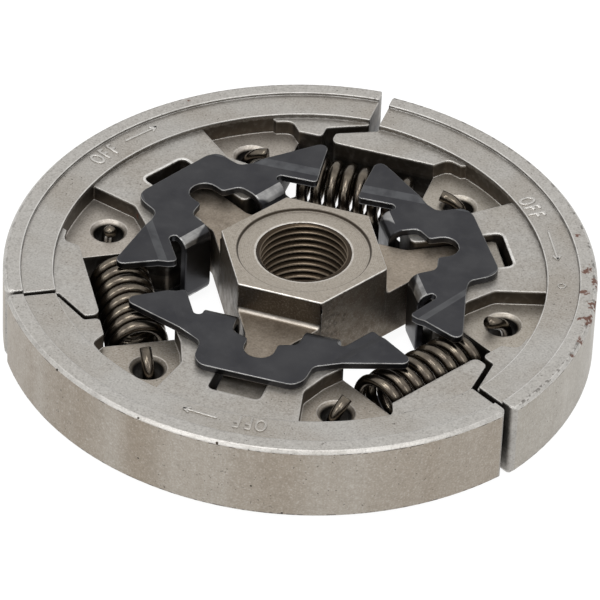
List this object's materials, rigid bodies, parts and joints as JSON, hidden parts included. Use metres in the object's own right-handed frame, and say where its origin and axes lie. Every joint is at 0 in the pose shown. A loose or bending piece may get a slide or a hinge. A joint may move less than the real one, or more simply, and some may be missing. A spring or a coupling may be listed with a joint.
{
  "type": "centrifugal clutch",
  "caption": "Arc-shaped steel shoes around a hexagon hub with arms, drawn in by coil springs; they slide outwards to grip a drum as the shaft speeds up",
  "frame": {"origin": "the axis of the threaded bore, on the hub's back face that seats on the crankshaft", "axes": "+Z along the bore's axis towards the hexagon, -Y along the front arm, +X to the right when seen from the front with the hexagon up"},
  "size_m": [0.0748, 0.0751, 0.0126],
  "materials": {
    "hub_steel": "machined sintered steel with light wear",
    "shoe_steel": "bead blasted sintered steel, ground rim, light rust",
    "retainer_steel": "blued spring steel sheet",
    "spring_steel": "drawn spring wire, dark bronze oxide"
  },
  "bodies": {
    "hub": {"carrier": "hub_steel", "spring_right": "spring_steel", "spring_rear": "spring_steel", "spring_left": "spring_steel"},
    "front_shoe": {"shoe_front": "shoe_steel", "retainer_front": "retainer_steel"},
    "right_shoe": {"shoe_right": "shoe_steel", "retainer_right": "retainer_steel"},
    "left_shoe": {"shoe_left": "shoe_steel", "retainer_left": "retainer_steel"}
  },
  "joints": [
    {"name": "front_slide", "type": "slide", "parent": "hub", "child": "front_shoe", "axis": [0, -1, 0], "range_m": [0, 0.00175], "stiffness_N_per_m": 30000, "springref_m": -0.0001, "deforming": ["spring_right", "spring_left"]},
    {"name": "right_slide", "type": "slide", "parent": "hub", "child": "right_shoe", "axis": [0.866, 0.5, 0], "range_m": [0, 0.00175], "stiffness_N_per_m": 30000, "springref_m": -0.0001, "deforming": ["spring_right", "spring_rear"]},
    {"name": "left_slide", "type": "slide", "parent": "hub", "child": "left_shoe", "axis": [-0.866, 0.5, 0], "range_m": [0, 0.00175], "stiffness_N_per_m": 30000, "springref_m": -0.0001, "deforming": ["spring_rear", "spring_left"]}
  ]
}
